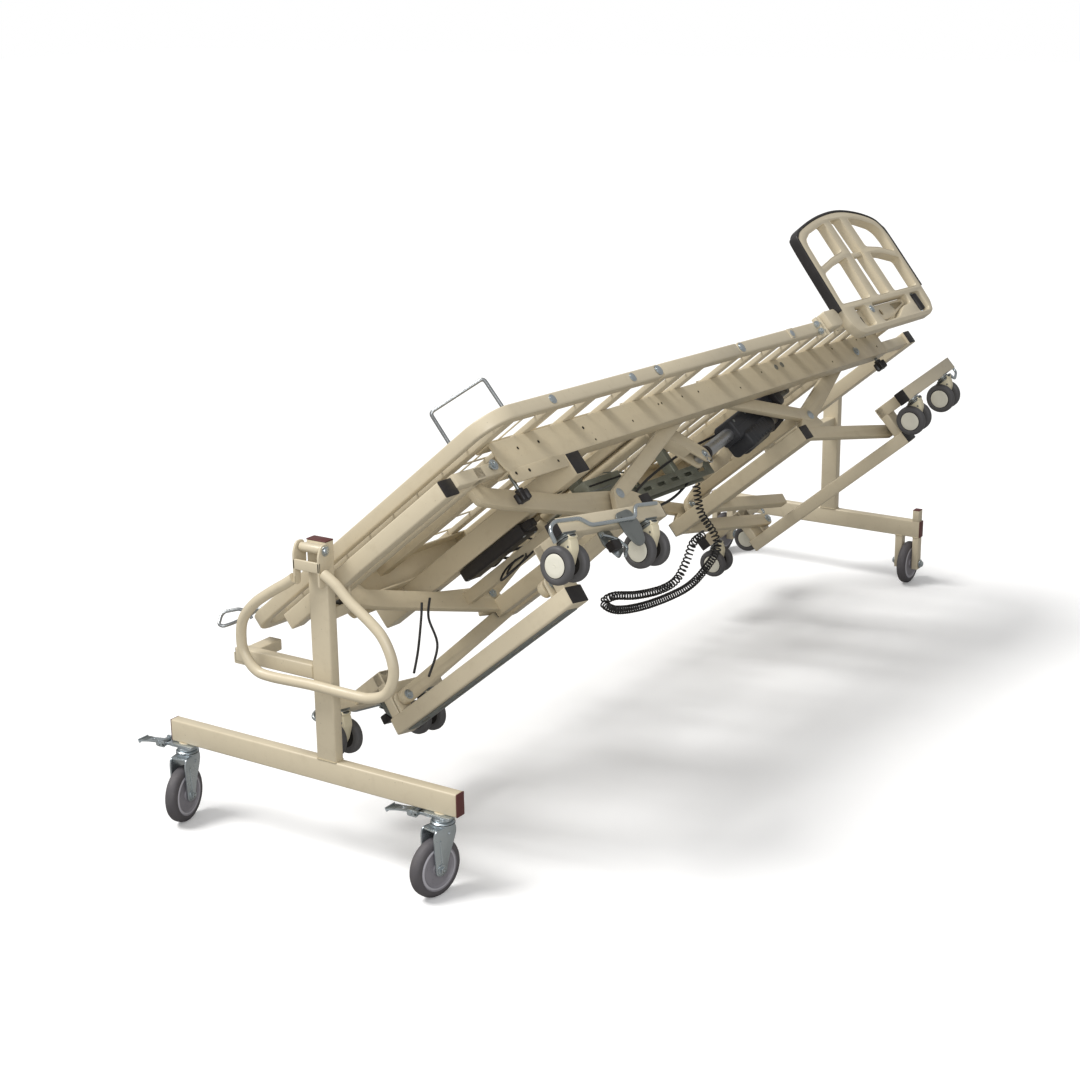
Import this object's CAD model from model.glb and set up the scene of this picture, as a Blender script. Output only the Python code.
"""An adjustable bed carried on a two-stand trolley, on a white floor.

The drawing is in millimetres and is scaled to metres when a part is finished.
TROLLEY frame: x to the right, y from the front stand to the rear stand, z up from the floor.
BED frame: x from the foot end to the head end, y across the bed towards its raised side,
z down through the bed from its lying surface. The bed is rolled 40 degrees on the trolley.
"""
import random
from math import atan2, cos, degrees, hypot, pi, radians, sin

import bmesh
import bpy
import numpy as np
from mathutils import Matrix, Vector


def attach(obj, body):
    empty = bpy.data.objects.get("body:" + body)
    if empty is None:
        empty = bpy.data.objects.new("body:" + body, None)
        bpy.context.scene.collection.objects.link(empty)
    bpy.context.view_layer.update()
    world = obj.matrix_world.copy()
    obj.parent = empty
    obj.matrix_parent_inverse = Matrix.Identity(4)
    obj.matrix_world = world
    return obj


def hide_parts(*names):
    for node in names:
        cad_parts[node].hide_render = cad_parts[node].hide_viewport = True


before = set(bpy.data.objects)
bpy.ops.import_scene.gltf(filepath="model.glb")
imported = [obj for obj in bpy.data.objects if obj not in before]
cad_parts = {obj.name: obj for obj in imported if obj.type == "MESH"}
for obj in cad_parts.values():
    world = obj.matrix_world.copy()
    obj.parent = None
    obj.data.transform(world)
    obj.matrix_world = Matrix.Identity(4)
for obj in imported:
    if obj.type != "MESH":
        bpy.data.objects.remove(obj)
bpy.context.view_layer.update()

random.seed(11)
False      # quick and full runs build the same thing

# ---------------------------------------------------------------- frames
X, Y, Z = Vector((1, 0, 0)), Vector((0, 1, 0)), Vector((0, 0, 1))
MM = 0.001
CENTRE = Vector((70.17, 1178.23, 0))        # the drawing's point that lands on the origin
BED_ORIGIN = (-226.6, 76.1, 448.7)          # foot end, lower side, on the trolley
BED_ROLL, BED_PITCH, BED_YAW = radians(40), radians(-2), radians(1)
BED_WIDE, BED_LONG = 838.0, 1990.0


def frame_matrix(x_axis, y_axis, z_axis, origin):
    matrix = Matrix((x_axis, y_axis, z_axis)).transposed().to_4x4()
    matrix.translation = origin
    return matrix


def bed_matrix():
    along = Vector((sin(BED_YAW) * cos(BED_PITCH), cos(BED_YAW) * cos(BED_PITCH), sin(BED_PITCH)))
    level = Vector((cos(BED_YAW), -sin(BED_YAW), 0))
    upright = level.cross(along)
    across = level * cos(BED_ROLL) + upright * sin(BED_ROLL)
    down = level * sin(BED_ROLL) - upright * cos(BED_ROLL)
    return frame_matrix(along, across, down, BED_ORIGIN)


TROLLEY = Matrix.Scale(MM, 4) @ Matrix.Translation(-CENTRE)
BED = TROLLEY @ bed_matrix()


# ---------------------------------------------------------------- materials
def linear(rgb):
    """Linear RGBA from 0-255 sRGB."""
    shares = [value / 255 for value in rgb]
    return tuple(s / 12.92 if s <= 0.04045 else ((s + 0.055) / 1.055) ** 2.4
                 for s in shares) + (1.0,)


def finish(name, rgb, rough, metal=0.0, grain=420, bump=0.12, vary=0.06, dirt=None, dirty=0.0,
           swing=0.1, coat=0.0, streak=False, spots=0.0):
    """A worn surface.

    rough, swing    mean roughness and how far it wanders either way
    grain, bump     noise scale and strength of the fine surface relief
    vary            how much darker the broad patches are
    dirt, dirty     colour and greatest cover of the grime; streak draws it out along y
    coat, spots     weight of the clear coat, cover of the small dark specks
    """
    mat = bpy.data.materials.new(name)
    mat.use_nodes = True
    nodes, links = mat.node_tree.nodes, mat.node_tree.links
    shader = nodes["Principled BSDF"]
    shader.inputs["Metallic"].default_value = metal
    if coat:
        shader.inputs["Coat Weight"].default_value = coat
        shader.inputs["Coat Roughness"].default_value = 0.22
    place = nodes.new("ShaderNodeTexCoord").outputs["Object"]

    def noise(scale, detail, vector=place, roughness=None):
        node = nodes.new("ShaderNodeTexNoise")
        node.inputs["Scale"].default_value = scale
        node.inputs["Detail"].default_value = detail
        if roughness is not None:
            node.inputs["Roughness"].default_value = roughness
        links.new(vector, node.inputs["Vector"])
        return node.outputs["Fac"]

    def remap(source, from_low, from_high, to_low, to_high):
        node = nodes.new("ShaderNodeMapRange")
        for socket, value in zip(node.inputs[1:5], (from_low, from_high, to_low, to_high)):
            socket.default_value = value
        links.new(source, node.inputs[0])
        return node.outputs[0]

    def cover(below, above, factor):
        """Mixes the colour above over the colour or socket below."""
        node = nodes.new("ShaderNodeMix")
        node.data_type = "RGBA"
        if isinstance(below, tuple):
            node.inputs[6].default_value = below
        else:
            links.new(below, node.inputs[6])
        node.inputs[7].default_value = above
        links.new(factor, node.inputs[0])
        return node.outputs[2]

    base = linear(rgb)
    dark = tuple(channel * (1 - vary) for channel in base[:3]) + (1,)
    colour = cover(base, dark, noise(scale=9, detail=4))
    if dirt:
        vector = place
        if streak:
            mapping = nodes.new("ShaderNodeMapping")
            mapping.inputs["Scale"].default_value = (1, 0.16, 1)
            links.new(place, mapping.inputs["Vector"])
            vector = mapping.outputs["Vector"]
        grime = noise(scale=34, detail=7, vector=vector, roughness=0.68)
        amount = remap(grime, from_low=0.52, from_high=0.8, to_low=0, to_high=dirty)
        colour = cover(colour, linear(dirt), amount)
    if spots:
        specks = noise(scale=210, detail=2)
        amount = remap(specks, from_low=0.73, from_high=0.77, to_low=0, to_high=spots)
        colour = cover(colour, linear((92, 84, 70)), amount)
    links.new(colour, shader.inputs["Base Color"])
    gloss = remap(noise(scale=26, detail=5), from_low=0.3, from_high=0.7,
                  to_low=max(0.05, rough - swing), to_high=min(1, rough + swing))
    links.new(gloss, shader.inputs["Roughness"])
    relief = nodes.new("ShaderNodeBump")
    relief.inputs["Strength"].default_value = bump
    relief.inputs["Distance"].default_value = 0.0006
    links.new(noise(scale=grain, detail=2), relief.inputs["Height"])
    links.new(relief.outputs["Normal"], shader.inputs["Normal"])
    return mat


BEIGE = finish("powder_beige", (208, 196, 170), rough=0.42, grain=520, bump=0.10,
               dirt=(150, 134, 104), dirty=0.2, swing=0.07, coat=0.10, spots=0.4)
UNDER = finish("powder_beige_b", (201, 188, 160), rough=0.45, grain=520,
               dirt=(150, 130, 98), dirty=0.24, swing=0.08, coat=0.08, spots=0.4)
WELD = finish("weld_bead", (190, 177, 147), rough=0.42, grain=240, bump=0.6, vary=0.1)
MAROON = finish("plastic_maroon", (92, 44, 42), rough=0.5, grain=300, bump=0.15, vary=0.12,
                dirt=(130, 100, 92), dirty=0.15)
BLACK = finish("plastic_black", (34, 31, 31), rough=0.46, grain=700, bump=0.22, vary=0.15,
               dirt=(90, 84, 78), dirty=0.12)
MOTOR = finish("motor_black", (40, 41, 45), rough=0.42, grain=900, bump=0.3, vary=0.15,
               dirt=(96, 92, 86), dirty=0.14)
HOLE = finish("dark_hole", (22, 18, 14), rough=0.9, bump=0.0, vary=0.05)
ZINC = finish("bright_zinc", (196, 204, 208), rough=0.30, metal=0.9, grain=160, bump=0.06,
              vary=0.14, dirt=(120, 122, 118), dirty=0.3)
DULL = finish("dull_zinc", (150, 154, 152), rough=0.42, metal=0.85, grain=160, bump=0.1,
              vary=0.2, dirt=(84, 80, 72), dirty=0.45, swing=0.12)
TREAD = finish("tread_rubber", (84, 81, 84), rough=0.62, grain=600, bump=0.2, vary=0.1,
               dirt=(132, 126, 120), dirty=0.22)
HUB = finish("hub_plastic", (134, 131, 137), rough=0.45, grain=900, bump=0.08, vary=0.05,
             dirt=(100, 96, 94), dirty=0.2)
HUB_RING = finish("hub_ring", (178, 176, 182), rough=0.42, grain=900, bump=0.08, vary=0.05)
CREAM = finish("caster_cream", (228, 218, 188), rough=0.40, grain=900, bump=0.08, vary=0.05,
               dirt=(160, 146, 118), dirty=0.22)
RIM = finish("twin_rubber", (84, 83, 84), rough=0.60, grain=700, bump=0.2, vary=0.1,
             dirt=(120, 116, 110), dirty=0.2)
CAP = finish("twin_cap", (222, 219, 204), rough=0.42, grain=900, bump=0.08, vary=0.05,
             dirt=(168, 160, 140), dirty=0.22)
STEEL = finish("galvanised", (140, 142, 128), rough=0.48, metal=0.55, grain=60, bump=0.1,
               vary=0.25, dirt=(92, 84, 62), dirty=0.5, swing=0.12, spots=0.5)
SILVER = finish("alu_tube", (176, 177, 178), rough=0.32, metal=0.85, grain=500, bump=0.05,
                vary=0.1, dirt=(120, 118, 112), dirty=0.25, streak=True)
WIRE = finish("zinc_wire", (172, 175, 176), rough=0.30, metal=0.9, grain=300, bump=0.05,
              vary=0.12)
CABLE = finish("cable_black", (26, 25, 25), rough=0.42, grain=500, bump=0.1, vary=0.1)


# ---------------------------------------------------------------- spans: (low, high) pairs
def about(middle, half):
    return middle - half, middle + half


def inner(span, margin):
    return span[0] + margin, span[1] - margin


def shift(span, distance):
    return distance + span[0], distance + span[1]


def mirror(side, y):
    """A place across the bed: as given on the raised side (1), mirrored on the other (-1)."""
    return y if side > 0 else BED_WIDE - y


def mirror_span(side, y0, y1):
    return sorted((mirror(side, y0), mirror(side, y1)))


# ---------------------------------------------------------------- outlines and paths
def circle(radius, seg=24, cx=0, cy=0, start=0, stop=360):
    """Points on a circle, or on an arc when it is under 360 degrees."""
    count = seg if stop - start >= 360 else seg + 1
    angles = [radians(start + (stop - start) * i / seg) for i in range(count)]
    return [(cx + radius * cos(a), cy + radius * sin(a)) for a in angles]


def rounded_rect(wide, tall, radius, steps=3):
    """Rectangle about the origin with arc corners."""
    x, y = wide / 2 - radius, tall / 2 - radius
    corners = ((x, y, 0), (-x, y, 90), (-x, -y, 180), (x, -y, 270))
    return [point for cx, cy, start in corners
            for point in circle(radius, steps, cx, cy, start, start + 90)]


def slot_outline(first, last, wide, steps):
    """Strip with half-round ends about two points."""
    turn = degrees(atan2(last[1] - first[1], last[0] - first[0]))
    return (circle(wide / 2, steps, *first, turn + 90, turn + 270)
            + circle(wide / 2, steps, *last, turn - 90, turn + 90))


def inset(outline, distance):
    """Moves each point inwards, square to the line between its neighbours."""
    moved = []
    for i, (x, y) in enumerate(outline):
        before, after = outline[i - 1], outline[(i + 1) % len(outline)]
        dx, dy = after[0] - before[0], after[1] - before[1]
        length = hypot(dx, dy)
        moved.append((x - dy / length * distance, y + dx / length * distance))
    return moved


def corner(before, point, after, radius, share, steps):
    """Quadratic bend that takes at most the given share of either leg."""
    back, ahead = before - point, after - point
    reach = min(radius, back.length * share, ahead.length * share)
    start, end = point + back.normalized() * reach, point + ahead.normalized() * reach
    return [start * (1 - t) ** 2 + point * (2 * t * (1 - t)) + end * t * t
            for t in (k / steps for k in range(steps + 1))]


def round_corners(outline, radius, steps=4):
    """Closed flat outline with its corners bent."""
    points = [Vector((x, y, 0)) for x, y in outline]
    bends = [corner(points[i - 1], point, points[(i + 1) % len(points)], radius, 0.45, steps)
             for i, point in enumerate(points)]
    return [(p.x, p.y) for bend in bends for p in bend]


def panel(xs, ys, radius, steps=4):
    """Rectangle between two spans, with its corners bent."""
    (x0, x1), (y0, y1) = xs, ys
    return round_corners([(x0, y0), (x1, y0), (x1, y1), (x0, y1)], radius, steps)


def fillet(points, radius, steps=5):
    """Open path with its corners bent."""
    points = [Vector(p) for p in points]
    path = [points[0]]
    for before, point, after in zip(points, points[1:], points[2:]):
        path += corner(before, point, after, radius, 0.48, steps)
    return path + [points[-1]]


def spline(points, steps):
    """Catmull-Rom path through the points."""
    points = [Vector(p) for p in points]
    last = len(points) - 1
    path = []
    for i in range(last):
        p0, p1, p2, p3 = points[max(0, i - 1)], points[i], points[i + 1], points[min(last, i + 2)]
        for k in range(steps):
            t = k / steps
            path.append(0.5 * ((2 * p1) + (p2 - p0) * t + (2 * p0 - 5 * p1 + 4 * p2 - p3) * t * t
                               + (3 * p1 - p0 - 3 * p2 + p3) * t ** 3))
    return path + [points[-1]]


def dense(points, step):
    """Divides every leg into steps no shorter than the given one."""
    points = [Vector(p) for p in points]
    path = []
    for start, end in zip(points, points[1:]):
        count = max(1, int((end - start).length / step))
        path += [start.lerp(end, i / count) for i in range(count)]
    return path + [points[-1]]


def cross_axes(along, reference):
    """Unit x and y square to a unit direction, y leaning to the reference."""
    y = reference - along * reference.dot(along)
    y.normalize()
    return y.cross(along), y


def place_points(points, matrix):
    matrix = np.array(matrix)
    return points @ matrix[:3, :3].T + matrix[:3, 3]


def skin(rings, size, closed=False):
    """Quads between successive rings of equal size, with end faces unless closed."""
    faces = []
    for i in range(rings if closed else rings - 1):
        here, there = i * size, (i + 1) % rings * size
        for j in range(size):
            k = (j + 1) % size
            faces.append((here + j, here + k, there + k, there + j))
    if not closed:
        faces.append(tuple(reversed(range(size))))
        faces.append(tuple((rings - 1) * size + j for j in range(size)))
    return faces


# ---------------------------------------------------------------- mesh building
TUBE = dict(rad=3.6, edge=0.4)      # corner radius and end bevel of the large square tube
PLANES = {      # from a flat point and its height to x, y, z
    "xz": lambda p, middle: (p[0], p[2] + middle, p[1]),
    "xy": lambda p, middle: (p[0], p[1], p[2] + middle),
    "yz": lambda p, middle: (p[2] + middle, p[0], p[1]),
}


class Part:
    """One mesh object, gathered from simple solids; mat=None means the part's own material."""

    def __init__(self, name, frame, mat):
        self.name, self.frame, self.mat = name, frame, mat
        self.local = Matrix.Identity(4)     # placed before the frame, for solids still to come
        self.verts, self.faces, self.face_mats, self.mats = [], [], [], []
        self.count = 0

    def add_verts(self, verts):
        base = self.count
        self.verts.append(place_points(np.array([tuple(p) for p in verts], float), self.local))
        self.count += len(verts)
        return base

    def add_faces(self, faces, base, mat):
        mat = mat or self.mat
        if mat not in self.mats:
            self.mats.append(mat)
        index = self.mats.index(mat)
        for face in faces:
            self.faces.append([i + base for i in face])
            self.face_mats.append(index)

    def put(self, verts, faces, mat=None):
        self.add_faces(faces, self.add_verts(verts), mat)

    def prism(self, profile, start, end, up=Z, edge=0.8, mat=None):
        """Profile carried from start to end, with rounded-over ends."""
        start, end = Vector(start), Vector(end)
        length = (end - start).length
        along = (end - start).normalized()
        x, y = cross_axes(along, Vector(up))
        edge = min(edge, length * 0.3)
        rings = [(0, edge), (0.3 * edge, 0.3 * edge), (edge, 0),
                 (length - edge, 0), (length - 0.3 * edge, 0.3 * edge), (length, edge)]
        verts = [start + x * p[0] + y * p[1] + along * height
                 for height, margin in rings for p in inset(profile, margin)]
        self.put(verts, skin(len(rings), len(profile)), mat)

    def box(self, xs, ys, zs, rad=1.2, edge=None, mat=None):
        """Box between three spans, run as a rounded prism along its longest side."""
        spans = (xs, ys, zs)
        size = [high - low for low, high in spans]
        start = Vector([(low + high) / 2 for low, high in spans])
        end = start.copy()
        longest = size.index(max(size))
        start[longest] -= size[longest] / 2
        end[longest] += size[longest] / 2
        wide, tall = size[:longest] + size[longest + 1:]
        rad = min(rad, min(wide, tall) * 0.45)
        self.prism(rounded_rect(wide, tall, rad), start, end, Y if longest == 2 else Z,
                   min(rad, 1.2) if edge is None else edge, mat)

    def cyl(self, start, end, radius, seg=28, edge=0.8, mat=None):
        self.prism(circle(radius, seg), start, end, (0.31, 0.2, 0.93),
                   min(edge, radius * 0.4), mat)

    def lathe(self, place, axis, profile, mat=None, seg=56):
        """Turns (radius, height) points about an axis; mat may be a list, one per segment."""
        place, axis = Vector(place), Vector(axis)
        x, y = cross_axes(axis, Vector((0.3, 0.1, 0.9)))
        verts, rings = [], []
        for radius, height in profile:
            on_axis = radius < 1e-4
            rings.append([len(verts)] * seg if on_axis else
                         list(range(len(verts), len(verts) + seg)))
            if on_axis:
                verts.append(place + axis * height)
                continue
            for i in range(seg):
                t = 2 * pi * i / seg
                verts.append(place + x * (radius * cos(t)) + y * (radius * sin(t))
                             + axis * height)
        mats = mat if isinstance(mat, list) else [mat] * (len(profile) - 1)
        groups = {}
        for below, above, ring_mat in zip(rings, rings[1:], mats):
            for i in range(seg):
                j = (i + 1) % seg
                if below[i] == below[j]:
                    face = (below[0], above[j], above[i])
                elif above[i] == above[j]:
                    face = (below[i], below[j], above[0])
                else:
                    face = (below[i], below[j], above[j], above[i])
                groups.setdefault(ring_mat, []).append(face)
        base = self.add_verts(verts)
        for group_mat, faces in groups.items():
            self.add_faces(faces, base, group_mat)

    def sweep(self, points, radius=None, seg=12, closed=False, profile=None, up=None, mat=None):
        """Round or given profile along a path; with up it keeps upright and is mitred."""
        path = [Vector(p) for p in points]
        count = len(path)
        profile = profile or circle(radius, seg)
        upright = up is not None
        reference = Vector(up) if upright else Vector((0.2, 0.3, 0.93))
        _, y = cross_axes((path[1] - path[0]).normalized(), reference)
        verts = []
        for i, point in enumerate(path):
            if closed:
                along = path[(i + 1) % count] - path[i - 1]
            else:
                along = path[min(i + 1, count - 1)] - path[max(i - 1, 0)]
            along.normalize()
            x, y = cross_axes(along, reference if upright else y)
            mitre = 1.0
            if upright and 0 < i < count - 1:
                before = (point - path[i - 1]).normalized()
                after = (path[i + 1] - point).normalized()
                mitre = 1 / max(0.5, cos(before.angle(after, 0) / 2))
            verts += [point + x * (p[0] * mitre) + y * p[1] for p in profile]
        self.put(verts, skin(count, len(profile), closed), mat)

    def plate(self, outline, span, plane="xz", bevel=0.8, holes=(), mat=None):
        """Flat plate with holes: outline in the plane, span through its thickness."""
        low, high = span
        bevel = min(bevel, (high - low) * 0.4)
        curve = bpy.data.curves.new("tmp", "CURVE")
        curve.dimensions = "2D"
        curve.fill_mode = "BOTH"
        curve.extrude = (high - low) / 2 - bevel
        curve.bevel_depth = bevel
        curve.bevel_resolution = 1
        curve.offset = -bevel
        for ring in [outline] + list(holes):
            loop = curve.splines.new("POLY")
            loop.points.add(len(ring) - 1)
            loop.use_cyclic_u = True
            for i, (x, y) in enumerate(ring):
                loop.points[i].co = (x, y, 0, 1)
        obj = bpy.data.objects.new("tmp", curve)
        bpy.context.scene.collection.objects.link(obj)
        graph = bpy.context.evaluated_depsgraph_get()
        graph.update()
        mesh = bmesh.new()
        mesh.from_mesh(obj.evaluated_get(graph).to_mesh())
        bmesh.ops.remove_doubles(mesh, verts=mesh.verts, dist=0.01)
        mesh.verts.index_update()
        verts = [PLANES[plane](v.co, (low + high) / 2) for v in mesh.verts]
        faces = [tuple(v.index for v in face.verts) for face in mesh.faces]
        mesh.free()
        obj.evaluated_get(graph).to_mesh_clear()
        bpy.data.objects.remove(obj)
        bpy.data.curves.remove(curve)
        self.put(verts, faces, mat)

    def bolt(self, place, axis, flats=13, height=5.5, washer=True, dome=False, mat=ZINC):
        """Hex or domed head, flats across, standing on its place."""
        place = Vector(place)
        if washer:
            self.cyl(place, place + axis * 1.6, flats * 0.86, seg=24, edge=0.4, mat=mat)
        foot = place + axis * (1.5 if washer else 0)
        if dome:
            profile = [(0, 0), (flats * 0.62, 0), (flats * 0.62, height * 0.25),
                       (flats * 0.52, height * 0.62), (flats * 0.3, height * 0.9),
                       (flats * 0.12, height), (0, height)]
            self.lathe(foot, axis, profile, mat, seg=20)
        else:
            self.prism(circle(flats / 1.732, 6), foot, foot + axis * height, (0.2, 0.5, 0.8),
                       0.7, mat)
            self.cyl(foot + axis * (height - 0.6), foot + axis * (height + 1.6), flats * 0.26,
                     seg=14, edge=0.5, mat=mat)

    def hole(self, place, axis, radius):
        """Dark disc with a thin raised lip, standing in for a drilled hole."""
        foot = Vector(place) - axis * 0.6
        lip = radius + 0.9
        self.lathe(foot, axis, [(0, 0), (radius, 0), (radius, 0.75), (0, 0.75)], HOLE, seg=18)
        self.lathe(foot, axis, [(radius, 0), (lip, 0.6), (lip, 0.9), (radius, 0.95), (radius, 0)],
                   WELD, seg=18)

    def bead(self, start, end, radius=1.7):
        """Uneven weld bead along a straight seam."""
        path = dense([start, end], 2.2)
        last, seg = len(path) - 1, 7
        verts = []
        for i, point in enumerate(path):
            along = (path[min(i + 1, last)] - path[max(i - 1, 0)]).normalized()
            x, y = cross_axes(along, Vector((0.3, 0.5, 0.8)))
            swell = 0.86 + 0.16 * sin(i * 1.9) + random.uniform(-0.07, 0.07)
            size = radius * swell * (0.5 if i in (0, last) else 1)
            for j in range(seg):
                a = 2 * pi * j / seg
                verts.append(point + x * (size * cos(a)) + y * (size * sin(a)))
        self.put(verts, skin(len(path), seg), WELD)

    def done(self, body, slot=None, node=None):
        """Makes the object; without a slot it stands for none of the CAD pieces."""
        mesh = bpy.data.meshes.new("v_" + self.name)
        verts = place_points(np.concatenate(self.verts), self.frame)
        mesh.from_pydata(verts.tolist(), [], self.faces)
        for mat in self.mats:
            mesh.materials.append(mat)
        mesh.polygons.foreach_set("material_index", self.face_mats)
        work = bmesh.new()
        work.from_mesh(mesh)
        bmesh.ops.recalc_face_normals(work, faces=work.faces)
        work.to_mesh(mesh)
        work.free()
        mesh.shade_smooth()
        mesh.set_sharp_from_angle(angle=radians(32))
        mesh.update()
        obj = bpy.data.objects.new("v_" + self.name, mesh)
        bpy.context.scene.collection.objects.link(obj)
        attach(obj, body)
        if slot:
            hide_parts(node or self.name)


# ---------------------------------------------------------------- trolley: front stand
FRONT_Y = (0, 26)                   # depth of the front tubes
FRONT_MID = sum(FRONT_Y) / 2
WHEEL_RADIUS = AXLE_Z = 62.5        # large wheels, standing on the floor
FRONT_CASTERS = (("front_left", -350, 12), ("front_right", 338, -10))   # name, x, yaw degrees
HINGE_Y, HINGE_Z = -13, 684         # pin of the loop handle


def front_stand():
    part = Part("front_stand", TROLLEY, BEIGE)
    part.box((-380, 380), FRONT_Y, (174, 224), **TUBE)                      # crossbar
    part.box((29, 79), FRONT_Y, (222, 695), **TUBE)                         # post
    part.box((-179, 30), inner(FRONT_Y, 0.3), (397, 428), rad=3.2, edge=0.4)    # side arm
    part.box((-181, -178.6), (1.2, 24.8), (398, 427), rad=1, mat=BLACK)
    part.box((-200, -166), (18, 130.5), (384, 409), rad=3.2, edge=0.4)
    part.box((-199, -167), (130.2, 132), (385, 408), rad=1, mat=BLACK)
    part.box((39, 69), (24, 86), (524, 549), rad=3)                         # upper rest
    part.box((39, 69), (79, 86), (526, 585), rad=2.4)
    part.box((42, 66), (52, 78.6), (548.4, 549.6), rad=0.4, mat=BLACK)
    part.cyl((27, HINGE_Y, HINGE_Z), (81, HINGE_Y, HINGE_Z), 9.5, seg=32)   # handle hinge
    part.box((33, 75), (-12, 2), (675.5, 692.5), rad=2)
    part.cyl((15, HINGE_Y, HINGE_Z), (94, HINGE_Y, HINGE_Z), 4, seg=20, mat=ZINC)
    part.bolt((19.6, HINGE_Y, HINGE_Z), -X, 13, 4)
    part.bolt((88.6, HINGE_Y, HINGE_Z), X, 13, 5, dome=True)
    for y in FRONT_Y:
        part.bead((29, y, 224.4), (79, y, 224.4))
    for x in (29, 79):
        part.bead((x, 1, 224.4), (x, 25, 224.4))
    part.bead((28.4, 0.6, 398), (28.4, 0.6, 427), 1.4)
    part.bead((28.4, 1, 428), (28.4, 25, 428), 1.4)
    part.bead((39, 26.2, 549), (69, 26.2, 549), 1.4)
    part.bead((-199, 17.6, 408), (-167, 17.6, 408), 1.4)
    for _, x, _ in FRONT_CASTERS:       # stem bosses under the crossbar
        part.cyl((x, FRONT_MID, 172.6), (x, FRONT_MID, 175), 17)
    part.done("frame", "beige")


def maroon_cap(name, xs, ys, zs, rad=1.1, edge=0.9):
    part = Part(name, TROLLEY, MAROON)
    part.box(xs, ys, zs, rad, edge)
    part.done("frame", "maroon")


HANDLE_LOOP = [     # x, z along the middle of the tube
    (93, 640), (101, 636), (125, 621), (158, 592), (205, 560), (236, 532), (256, 490),
    (257, 452), (237, 416), (200, 400), (160, 397), (47, 398), (-60, 395), (-100, 402),
    (-127, 430), (-135, 460), (-128, 505), (-96, 545), (-50, 578), (-6, 605), (16, 620)]
HANDLE_EAR = [      # y, z of the plates on the hinge pin
    (-34, 608), (-16, 608), (-15, 642), (4, 646), (4, 676), (-2, 697), (-24, 697), (-34, 676)]


def loop_handle():
    part = Part("loop_handle", TROLLEY, BEIGE)
    part.sweep(spline([(x, -27, z) for x, z in HANDLE_LOOP], 8), 11, seg=24)
    for x in (20, 83):
        part.plate(round_corners(HANDLE_EAR, 8, 5), (x, x + 5), "yz", 0.9,
                   holes=[circle(4.5, 20, HINGE_Y, HINGE_Z)])
    part.box((20.5, 88), (-34, -29.4), (641, 663), rad=1.8)
    for x in (22.5, 85.5):
        part.cyl((x - 2.4, -31, 652), (x + 2.4, -31, 652), 1, seg=12)
    part.bead((83, -33, 640), (92, -30, 633), 2.2)
    part.bead((24, -33, 628), (24, -33, 612), 2.0)
    part.bead((26, -29, 641), (82, -29, 641), 1.2)
    part.done("handle", "beige")


# large swivel casters of the front stand
CASTER_TOP = 173.7
PLATE_Z = CASTER_TOP - 16           # underside of the swivel
FORK_TOP = PLATE_Z - 0.5
TRAIL = 26                          # how far the axle lies behind the swivel
PEDAL_OUT = 68                      # pedal pin, left of the swivel

# Half of a large wheel's section: radius, depth in from its side face.
WHEEL_HALF = [
    (5.9, 1.2), (13, 1.2), (14, 2), (15.5, 4.2), (37, 4.6), (39, 3.4), (41, 1.2), (43.5, 1.0),
    (45.5, 2.6), (47.5, 1.6), (51.5, 1.0), (56, 2.0), (59.5, 4.4), (61.6, 7.6),
    (WHEEL_RADIUS - 0.1, 11)]


def large_wheel(part, place, wide):
    half = wide / 2
    section = [(radius, depth - half) for radius, depth in WHEEL_HALF]
    section += [(WHEEL_RADIUS, 0)] + [(radius, -height) for radius, height in section[::-1]]
    section.append(section[0])
    mats = []
    for (r0, _), (r1, _) in zip(section, section[1:]):
        middle = (r0 + r1) / 2
        mats.append(TREAD if middle > 46.5 else HUB_RING if 40 < middle < 44.6 else HUB)
    part.lathe(place, X, section, mats, seg=72)


def caster_mount(name, x):
    part = Part(f"{name}_mount", TROLLEY, ZINC)
    part.plate(panel((x - 33, x + 33), (-11, 37), 8, 5), (CASTER_TOP - 4, CASTER_TOP), "xy", 1)
    part.lathe((x, FRONT_MID, PLATE_Z), Z,
               [(0, 0), (20.5, 0), (21, 1), (21, 4), (19.5, 6), (21, 8), (20, 11), (14, 12.4),
                (0, 12.4)], seg=44)
    arm_z = (PLATE_Z + 0.2, PLATE_Z + 6.6)
    part.box((x - 58, x - 15), (4, 22), arm_z, rad=1.5)
    part.box((x - 58, x - 50), (-6, 32), arm_z, rad=1.5)
    for y in (-4.3, 30.3):              # ears on either side of the pedal
        part.plate(panel((x - 76, x - 50), (PLATE_Z - 3, PLATE_Z + 11), 5), about(y, 1.7),
                   bevel=0.6, holes=[circle(5.3, 18, x - PEDAL_OUT, PLATE_Z + 4)])
    for dx in (-24, 24):
        for y in (-4, 30):
            part.bolt((x + dx, y, CASTER_TOP - 4.4), -Z, 10, 4, washer=False)
    part.done("frame", "zinc", f"{name}_caster_mount")


PEDAL = [       # x, y from the pedal's pin
    (-3, -12), (-40, -12), (-58, -15.5), (-66, -15), (-66, 15), (-58, 15.5), (-40, 12), (-3, 12)]


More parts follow.
